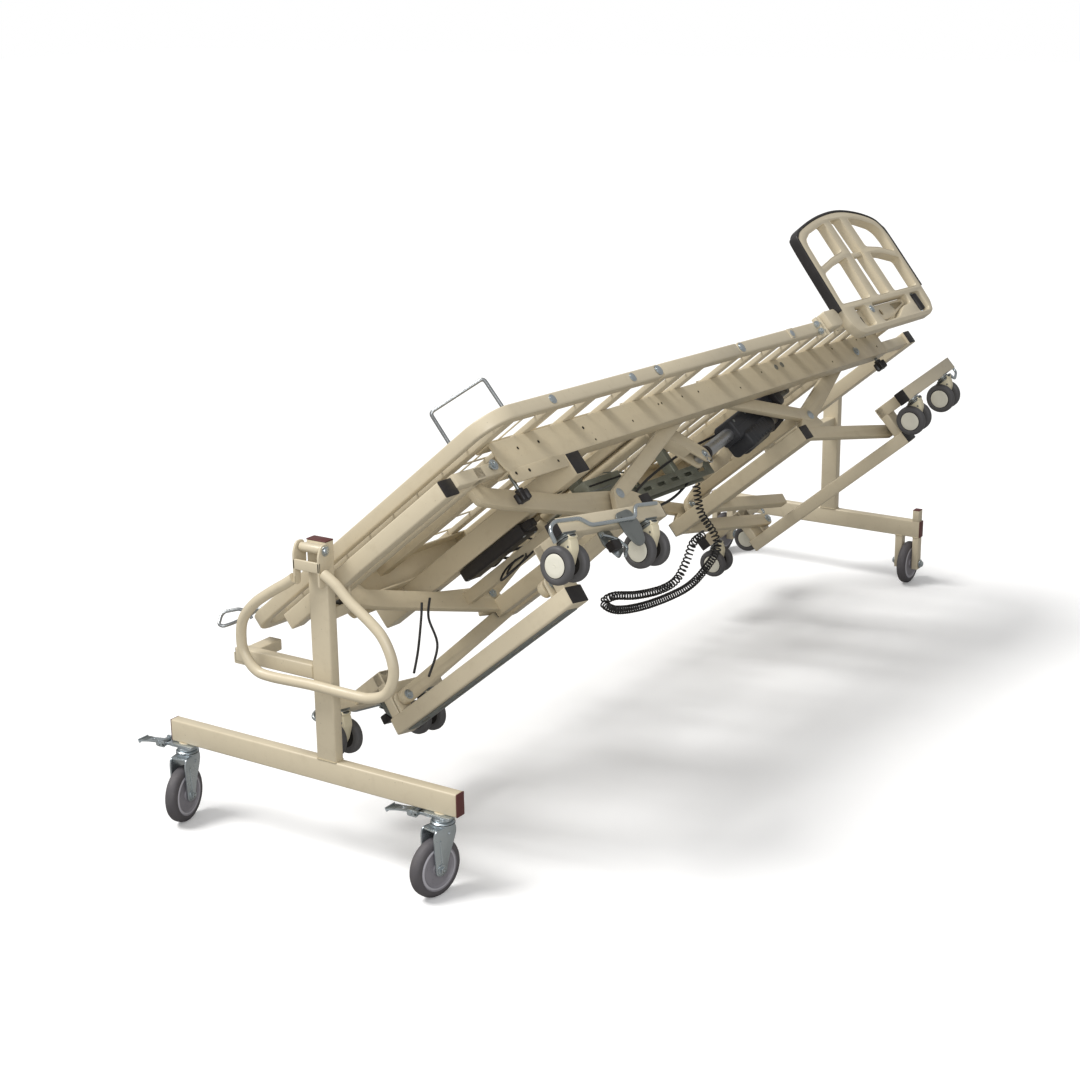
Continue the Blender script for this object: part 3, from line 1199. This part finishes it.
def leg_lift_lever():
    tip_x, tip_z = LEVER_TIP
    part = Part("lever", BED, UNDER)
    part.cyl((860, 206, 60), (860, 632, 60), 15, seg=36)
    for ys in ((580, 587), (609, 614)):             # two cheeks
        part.plate(slot_outline(LEVER_ROOT, LEVER_TIP, 40, 10), ys, bevel=1.2)
    along = Vector((tip_x - LEVER_ROOT[0], 0, tip_z - LEVER_ROOT[1])).normalized()
    square = Vector((-along.z, 0, along.x))
    root = Vector((880, 597, 80))
    for end, offset in (((936, 597, 131), 17.6), ((944, 597, 138.5), -18.4)):   # webs between
        part.prism(rounded_rect(34, 3.4, 1.2), root + square * offset,
                   Vector(end) + square * offset, square, 0.5)
    part.cyl((tip_x, 577, tip_z), (tip_x, 618, tip_z), 5.6, seg=18, mat=ZINC)
    part.bolt((tip_x, 614, tip_z), Y, 12, 2)
    clip = [(tip_x - 2, 617, tip_z + 2), (tip_x + 4, 622, tip_z + 20),
            (tip_x - 10, 622, tip_z + 30), (tip_x - 16, 620, tip_z + 16),
            (tip_x - 2, 618, tip_z + 4)]
    part.sweep(fillet(clip, 7, 4), 1.3, seg=8, mat=WIRE)
    lug = [(846, 60), (860, 40), (874, 46), (900, 30), (900, 24), (846, 24)]
    part.plate(round_corners(lug, 5, 3), (214, 220), bevel=1)
    part.done("lever", "beige", "leg_lift_lever")


def leg_drive():
    """Rod and motor, drawn with x from the lever's tip to the motor's fixed end."""
    run, drop = MOTOR_END[0] - LEVER_TIP[0], MOTOR_END[1] - LEVER_TIP[1]
    length = hypot(run, drop)
    local = (Matrix.Translation((LEVER_TIP[0], 598, LEVER_TIP[1]))
             @ Matrix.Rotation(-atan2(drop, run), 4, "Y"))
    part = Part("rod", BED, SILVER)
    part.local = local
    part.cyl((12, 0, 0), (130, 0, 0), 8)
    part.lathe((0, -9.5, 0), Y, [(6.4, 0), (11.4, 0), (12, 0.6), (12, 18.4), (11.4, 19),
                                 (6.4, 19), (6.4, 0)], seg=28)
    part.cyl((9, 0, 0), (22, 0, 0), 9.4, seg=24, mat=DULL)
    part.done("rod", "silver", "leg_drive_rod")

    part = Part("motor", BED, MOTOR)
    part.local = local
    part.lathe((24, 0, 0), X, [(9, 0), (15.6, 0), (17, 1.4), (17, 8), (16.2, 9), (16.2, 152),
                               (9, 152), (9, 0)], SILVER, seg=44)
    part.lathe((24, 0, 0), X, [(9, -0.3), (17.5, -0.3), (18, 1.4), (18, 9), (17.3, 10),
                               (15, 10), (9, -0.3)], BLACK, seg=40)
    part.box((168, 340), (-30, 30), (-30, 28), rad=11, edge=7)
    part.box((330, 470), (-27, 27), (-27, 26), rad=12, edge=7)
    part.box((186, 330), (-36, 36), (16, 62), rad=13, edge=8)
    part.cyl((196, 0, 40), (322, 0, 40), 27, seg=40, edge=6)
    for k in range(6):
        part.box((206 + 18 * k, 209 + 18 * k), (-36.6, 36.6), (22, 58))
    part.cyl((322, 4, 40), (352, 4, 40), 23, seg=36, edge=7)
    part.box((352, 430), (-20, 20), (26, 44), rad=4, edge=2, mat=SILVER)
    part.cyl((352, 0, 34), (450, 0, 34), 19, seg=36, edge=3, mat=SILVER)
    part.box((460, length - 8), (-12, 12), (-14, 14), rad=2, mat=DULL)
    part.lathe((length - 6, -12, 0), Y, [(5.5, 0), (14, 0), (14, 24), (5.5, 24), (5.5, 0)],
               DULL, seg=28)
    for side in (-1, 1):                # seam and screws of the housing
        part.box((168, 470), about(side * 30.2, 0.8), (-2, 1.4), rad=0.6)
        for x in (182, 250, 322):
            part.bolt((x, side * 30.2, -18), side * Y, 7, 1.2, washer=False, dome=True, mat=DULL)
    strap = [(404, -33, -31), (404, 33, -31), (404, 35, 4), (404, 34, 48), (404, -26, 60),
             (404, -33, 20), (404, -33, -28)]
    part.sweep(fillet(strap, 10), profile=rounded_rect(16, 2.2, 0.9), up=X, mat=BLACK)
    part.done("motor", "black", "leg_drive_motor")


def control_box():
    part = Part("control_box", BED, BLACK)
    part.box((345, 400), (300, 505), (138, 166), rad=5, edge=4)
    part.box((350, 372), (496, 530), (142, 160), rad=3, edge=2)
    for y in (330, 370, 410, 450):      # sockets
        part.cyl((399, y, 152), (404, y, 152), 6.5, seg=22)
    for y in (308, 497):
        for x in (352, 393):
            part.bolt((x, y, 166), Z, 7, 1.4, washer=False, dome=True)
    part.box((349, 396), (306, 499), (165.6, 166.5), rad=0.4)
    part.done("frame", "black")


def centre_rail():
    part = Part("centre_rail", BED, STEEL)
    windows = [panel((x, x + 34), (162, 172), 4, 3) for x in range(500, 1090, 62)]
    for ys in ((480, 483.6), (516.4, 520)):
        part.plate([(470, 150), (1120, 150), (1120, 186), (470, 186)], ys, holes=windows)
    part.plate([(470, 482), (1120, 482), (1120, 518), (470, 518)], (150, 154), "xy")
    for xs in ((604, 626), (976, 996)):
        part.box(xs, (486, 514), (44.3, 152), rad=2)
    bracket = [(640, 108), (700, 96), (775, 112), (800, 150), (796, 178), (770, 184), (640, 184)]
    slit = round_corners([(752, 126), (784, 152), (780, 156), (748, 130)], 2, 2)
    part.plate(round_corners(bracket, 10), (520.4, 526), bevel=1,
               holes=[circle(4, 16, 722, 128), circle(4, 16, 735, 168), circle(9, 20, 772, 160),
                      slit])
    for x, z in ((706, 122), (712, 170)):
        part.bolt((x, 526, z), Y, 14, 6)
    part.box((560, 700), (524, 560), (112, 150), rad=2.5)
    part.box((566, 694), (559.4, 561), (126, 130), rad=0.4, mat=HOLE)
    part.box((560, 640), (559.8, 562), (140, 143), rad=0.4, mat=DULL)
    part.done("frame", "steel")


# ---------------------------------------------------------------- side guard
GUARD_Y = GUARD_IN, GUARD_OUT = (846, 872)
GUARD_OUTLINE = [       # x, z; the trim follows the first eleven points
    (1470, 4), (1489, -190), (1506, -222), (1557, -241), (1670, -262), (1782, -268),
    (1878, -254), (1948, -230), (1972, -205), (1980, -172), (1972, -10), (1966, 40),
    (1948, 66), (1920, 76), (1517, 78), (1492, 70), (1476, 48)]
GUARD_WINDOWS = [       # x, z; five openings above, three below the lying surface
    [(1493, -12), (1506, -104), (1590, -124), (1668, -136), (1658, -12)],
    [(1509, -122), (1517, -190), (1526, -206), (1562, -222), (1672, -244), (1668, -154),
     (1590, -142)],
    [(1700, -12), (1706, -134), (1708, -248), (1772, -250), (1774, -134), (1772, -12)],
    [(1804, -12), (1808, -136), (1880, -126), (1954, -104), (1948, -12)],
    [(1810, -154), (1812, -246), (1872, -236), (1934, -214), (1952, -198), (1958, -172),
     (1955, -122), (1884, -144)],
    [(1536, 4), (1602, 4), (1602, 62), (1546, 62), (1536, 48)],
    [(1640, 4), (1850, 4), (1850, 30), (1800, 34), (1740, 60), (1650, 62), (1640, 40)],
    [(1872, 4), (1936, 4), (1936, 56), (1924, 62), (1872, 62)]]


def guard_panel():
    part = Part("guard_panel", BED, BEIGE)
    top = spline([(x, z, 0) for x, z in GUARD_OUTLINE[1:10]], 5)
    outline = GUARD_OUTLINE[:1] + [(p.x, p.y) for p in top] + GUARD_OUTLINE[10:]
    windows = [round_corners(window, 10) for window in GUARD_WINDOWS]
    part.plate(round_corners(outline, 7, 2), GUARD_Y, bevel=2.6, holes=windows)
    for window in windows[:5]:          # raised lips round the upper windows
        part.sweep([(x, GUARD_OUT - 0.8, z) for x, z in window], 0.9, seg=8, closed=True)
    recess = [(1540, 8), (1600, 8), (1600, 60), (1548, 60), (1540, 48)]
    part.plate(round_corners(recess, 5, 3), shift((3, 7), GUARD_IN), bevel=0.6)
    for x, top_z in ((1556, 20), (1572, 26)):
        part.box((x, x + 4), shift((7, 9), GUARD_IN), (top_z, 50), rad=0.5, mat=HOLE)
    part.bolt((1622, GUARD_OUT - 0.4, 20), Y, 12, 2.6, dome=True)
    part.cyl((1904, 861, 3), (1904, 861, 63), 4, seg=18, mat=ZINC)
    latch = [(1650, 8), (1700, 8), (1846, 8), (1846, 22), (1740, 50), (1660, 54), (1650, 40)]
    slit = round_corners([(1760, 14), (1836, 14), (1836, 20), (1770, 34)], 3, 2)
    part.plate(round_corners(latch, 6, 3), shift((8, 12), GUARD_IN),
               holes=[circle(9, 20, 1690, 30), slit])
    part.box((1699, 1775), shift((6, 20), GUARD_IN), (-147, -133), rad=3)
    part.done("back", "beige")


def guard_trim():
    """Strip round the guard's upper edge, half its thickness outside the outline."""
    middle = Vector((1725, 0, -60))
    edge = spline([(x, 859, z) for x, z in GUARD_OUTLINE[:11]], 6)
    path = []
    for i, point in enumerate(edge):
        along = (edge[min(len(edge) - 1, i + 1)] - edge[max(0, i - 1)]).normalized()
        outward = Vector((along.z, 0, -along.x))
        if outward.dot(point - middle) < 0:
            outward = -outward
        path.append(point + outward * 3.7)
    part = Part("guard_trim", BED, BLACK)
    profile = [(y, x) for x, y in reversed(rounded_rect(27.4, 6.6, 2.6, 4))]
    part.sweep(path, profile=profile, up=Y)
    part.done("back", "black")


def guard_roller():
    part = Part("guard_roller", BED, BLACK)
    part.lathe((1904, 861, 8), Z, [(4.4, 0), (10, 0), (11.6, 1.4), (12, 4), (12, 45),
                                   (11.6, 47.6), (10, 49), (4.4, 49), (4.4, 0)], seg=36)
    part.done("guard_roller", "black")


# ---------------------------------------------------------------- wire retainers and cables
SIDE_RETAINER = [       # x, y, z
    (22, 12, -0.6), (22, 12, -16), (14, 4, -32), (-6, -20, -44), (-14, -26, -40),
    (-30, -30, -24), (-26, -26, -16), (-8, -14, -12), (10, -8, -12), (40, -6, -14),
    (62, 4, -18), (66, 12, -14), (66, 12, -0.6)]
COIL_PATH = [           # x, y, z on the trolley, along the coil's core
    (298, 1122, 586), (305, 1121, 548), (316, 1120, 512), (336, 1146, 461), (350, 1136, 427),
    (360, 1063, 401), (368, 970, 385), (372, 858, 388), (376, 724, 404), (380, 613, 430),
    (384, 556, 463), (388, 592, 469), (392, 679, 447), (396, 779, 432), (398, 849, 436),
    (400, 891, 468), (400, 924, 505), (400, 976, 513)]
COIL_RADIUS, COIL_PITCH = 8.4, 10.5
CABLES = (              # radius, then x, y, z in the bed
    (2.6, [(10, 448, 208), (-8, 440, 236), (-65, 440, 292), (-110, 440, 330)]),
    (2.6, [(34, 452, 206), (12, 441, 240), (-8, 440, 298), (-78, 440, 348)]),
    (3.4, [(400, 330, 152), (430, 330, 160), (470, 360, 150), (520, 420, 176), (600, 470, 196),
           (760, 474, 198), (980, 474, 196), (1200, 520, 120), (1290, 560, 110)]),
    (3.2, [(404, 370, 152), (440, 372, 168), (500, 430, 186), (640, 530, 196), (820, 536, 150),
           (1000, 540, 120), (1160, 560, 110)]),
    (2.4, [(404, 410, 152), (426, 420, 178), (380, 440, 200), (330, 400, 214), (380, 400, 190),
           (440, 440, 184), (470, 480, 190), (640, 470, 204)]),
    (2.4, [(404, 450, 152), (430, 460, 184), (360, 400, 206), (440, 400, 176),
           (500, 430, 196)]))


def foot_retainer():
    part = Part("foot_retainer", BED, WIRE)
    ends = ((30, 700), (99, 804))
    part.sweep(fillet([(30, 700, -0.6), (30, 700, -78), (96, 804, -78), (99, 804, -0.6)], 9, 6),
               3.9, seg=14)
    for x, y in ends:
        part.cyl((x, y, -2.4), (x, y, -0.6), 7, seg=20)
    part.done("foot_retainer", "wire")


def side_retainer():
    part = Part("side_retainer", BED, WIRE)
    part.sweep(fillet(SIDE_RETAINER, 8, 4), 3.8)
    part.done("side_retainer", "wire")


def coiled_cable():
    core = dense(spline(COIL_PATH, 24), 2.0)
    helix, angle, y = [], 0.0, Z
    for start, end in zip(core, core[1:]):
        x, y = cross_axes((end - start).normalized(), y)
        for k in range(3):
            angle += (end - start).length / 3 / COIL_PITCH * 2 * pi
            helix.append(start.lerp(end, k / 3) + x * (COIL_RADIUS * cos(angle))
                         + y * (COIL_RADIUS * sin(angle)))
    part = Part("coiled_cable", TROLLEY, CABLE)
    part.sweep(helix, 1.9, seg=7)
    part.done("frame", "black")


def cables():
    part = Part("cables", BED, CABLE)
    for radius, points in CABLES:
        part.sweep(spline(points, 12), radius, seg=9)
    part.done("frame")


# ---------------------------------------------------------------- stage
def floor_material():
    """White to the camera, a dimmer grey to every other ray."""
    mat = bpy.data.materials.new("floor")
    mat.use_nodes = True
    nodes, links = mat.node_tree.nodes, mat.node_tree.links
    seen = nodes["Principled BSDF"]
    seen.inputs["Base Color"].default_value = (0.95, 0.95, 0.95, 1)
    seen.inputs["Roughness"].default_value = 0.6
    seen.inputs["Specular IOR Level"].default_value = 0.15
    seen.inputs["Emission Color"].default_value = (1, 1, 1, 1)
    seen.inputs["Emission Strength"].default_value = 0.10
    unseen = nodes.new("ShaderNodeBsdfDiffuse")
    unseen.inputs[0].default_value = (0.33, 0.325, 0.31, 1)
    split_by_camera(nodes, links, unseen, seen, nodes["Material Output"])
    return mat


def split_by_camera(nodes, links, unseen, seen, output):
    """Sends camera rays to one shader and all others to another."""
    mix = nodes.new("ShaderNodeMixShader")
    path = nodes.new("ShaderNodeLightPath")
    links.new(path.outputs["Is Camera Ray"], mix.inputs[0])
    links.new(unseen.outputs[0], mix.inputs[1])
    links.new(seen.outputs[0], mix.inputs[2])
    links.new(mix.outputs[0], output.inputs[0])


def add_floor(half=30):
    mesh = bpy.data.meshes.new("floor")
    mesh.from_pydata([(-half, -half, 0), (half, -half, 0), (half, half, 0), (-half, half, 0)],
                     [], [(0, 1, 2, 3)])
    mesh.materials.append(floor_material())
    floor = bpy.data.objects.new("floor", mesh)
    bpy.context.scene.collection.objects.link(floor)


def add_world():
    world = bpy.data.worlds.new("world")
    bpy.context.scene.world = world
    world.use_nodes = True
    nodes, links = world.node_tree.nodes, world.node_tree.links
    lighting, backdrop = nodes["Background"], nodes.new("ShaderNodeBackground")
    for background, strength in ((lighting, 0.40), (backdrop, 1.0)):
        background.inputs[0].default_value = (1, 1, 1, 1)
        background.inputs[1].default_value = strength
    split_by_camera(nodes, links, lighting, backdrop, nodes["World Output"])


def add_light(name, kind, energy, colour, aim):
    """Light shining along aim; returns its data and its object."""
    data = bpy.data.lights.new(name, kind)
    data.energy = energy
    data.color = colour
    light = bpy.data.objects.new(name, data)
    bpy.context.scene.collection.objects.link(light)
    light.rotation_euler = aim.to_track_quat("-Z", "Y").to_euler()
    return data, light


def add_lights():
    data, _ = add_light("key", "SUN", energy=2.75, colour=(1.0, 0.99, 0.975),
                        aim=-Vector((-2.1, -1.7, 4.2)))
    data.angle = radians(26)
    place, target = Vector((3.2, -4.6, 2.4)), Vector((0, 0, 0.6))
    data, light = add_light("fill", "AREA", energy=110, colour=(0.98, 0.985, 1.0),
                            aim=target - place)
    data.shape = "SQUARE"
    data.size = 2.4
    light.location = place


def add_camera():
    yaw, pitch, roll = radians(-33.43), radians(16.68), radians(-0.79)   # pitch looks down
    data = bpy.data.cameras.new("cam")
    camera = bpy.data.objects.new("cam", data)
    bpy.context.scene.collection.objects.link(camera)
    data.sensor_width = 36
    data.sensor_fit = "HORIZONTAL"
    data.lens = 64.1333333
    data.clip_end = 100
    forward = Vector((sin(yaw) * cos(pitch), cos(yaw) * cos(pitch), -sin(pitch)))
    right = Vector((cos(yaw), -sin(yaw), 0))
    up = right.cross(forward)
    camera.matrix_world = frame_matrix(
        right * cos(roll) + up * sin(roll), -right * sin(roll) + up * cos(roll), -forward,
        (Vector((2442, -2809, 1788)) - CENTRE) * MM)
    bpy.context.scene.camera = camera


# ---------------------------------------------------------------- build, in order
front_stand()
maroon_cap("front_bar_cap_left", (-383, -380.3), (0.2, 25.8), (174.2, 223.8))
maroon_cap("front_bar_cap_right", (380.3, 383), (0.2, 25.8), (174.2, 223.8))
maroon_cap("front_post_cap", (29.2, 78.8), (0.2, 25.8), (695.3, 698), rad=1.3, edge=1.0)
loop_handle()
front_casters()
rear_stand()
maroon_cap("rear_bar_cap_right", (374.3, 377), inner(REAR_Y, 0.2), (144.2, 193.8))
rear_wheels()

leg_section()
seat_section()
back_section()
sub_frame()
foot_end_frame()
foot_end_tube_cap()
head_end_frame()
lock_knob("foot", x=170, top=126)
lock_knob("head", x=1890, top=100)
for each_lift in LIFTS:
    lift_links(each_lift)
    lift_arms(each_lift)
    lift_base(each_lift)
    lift_casters(each_lift)
leg_lift_lever()
leg_drive()
control_box()
centre_rail()
guard_panel()
guard_trim()
guard_roller()
foot_retainer()
side_retainer()
coiled_cable()
cables()

add_floor()
add_world()
add_lights()
add_camera()
view = bpy.context.scene.view_settings
view.view_transform = "Standard"
view.look = "None"
view.exposure = 0.0
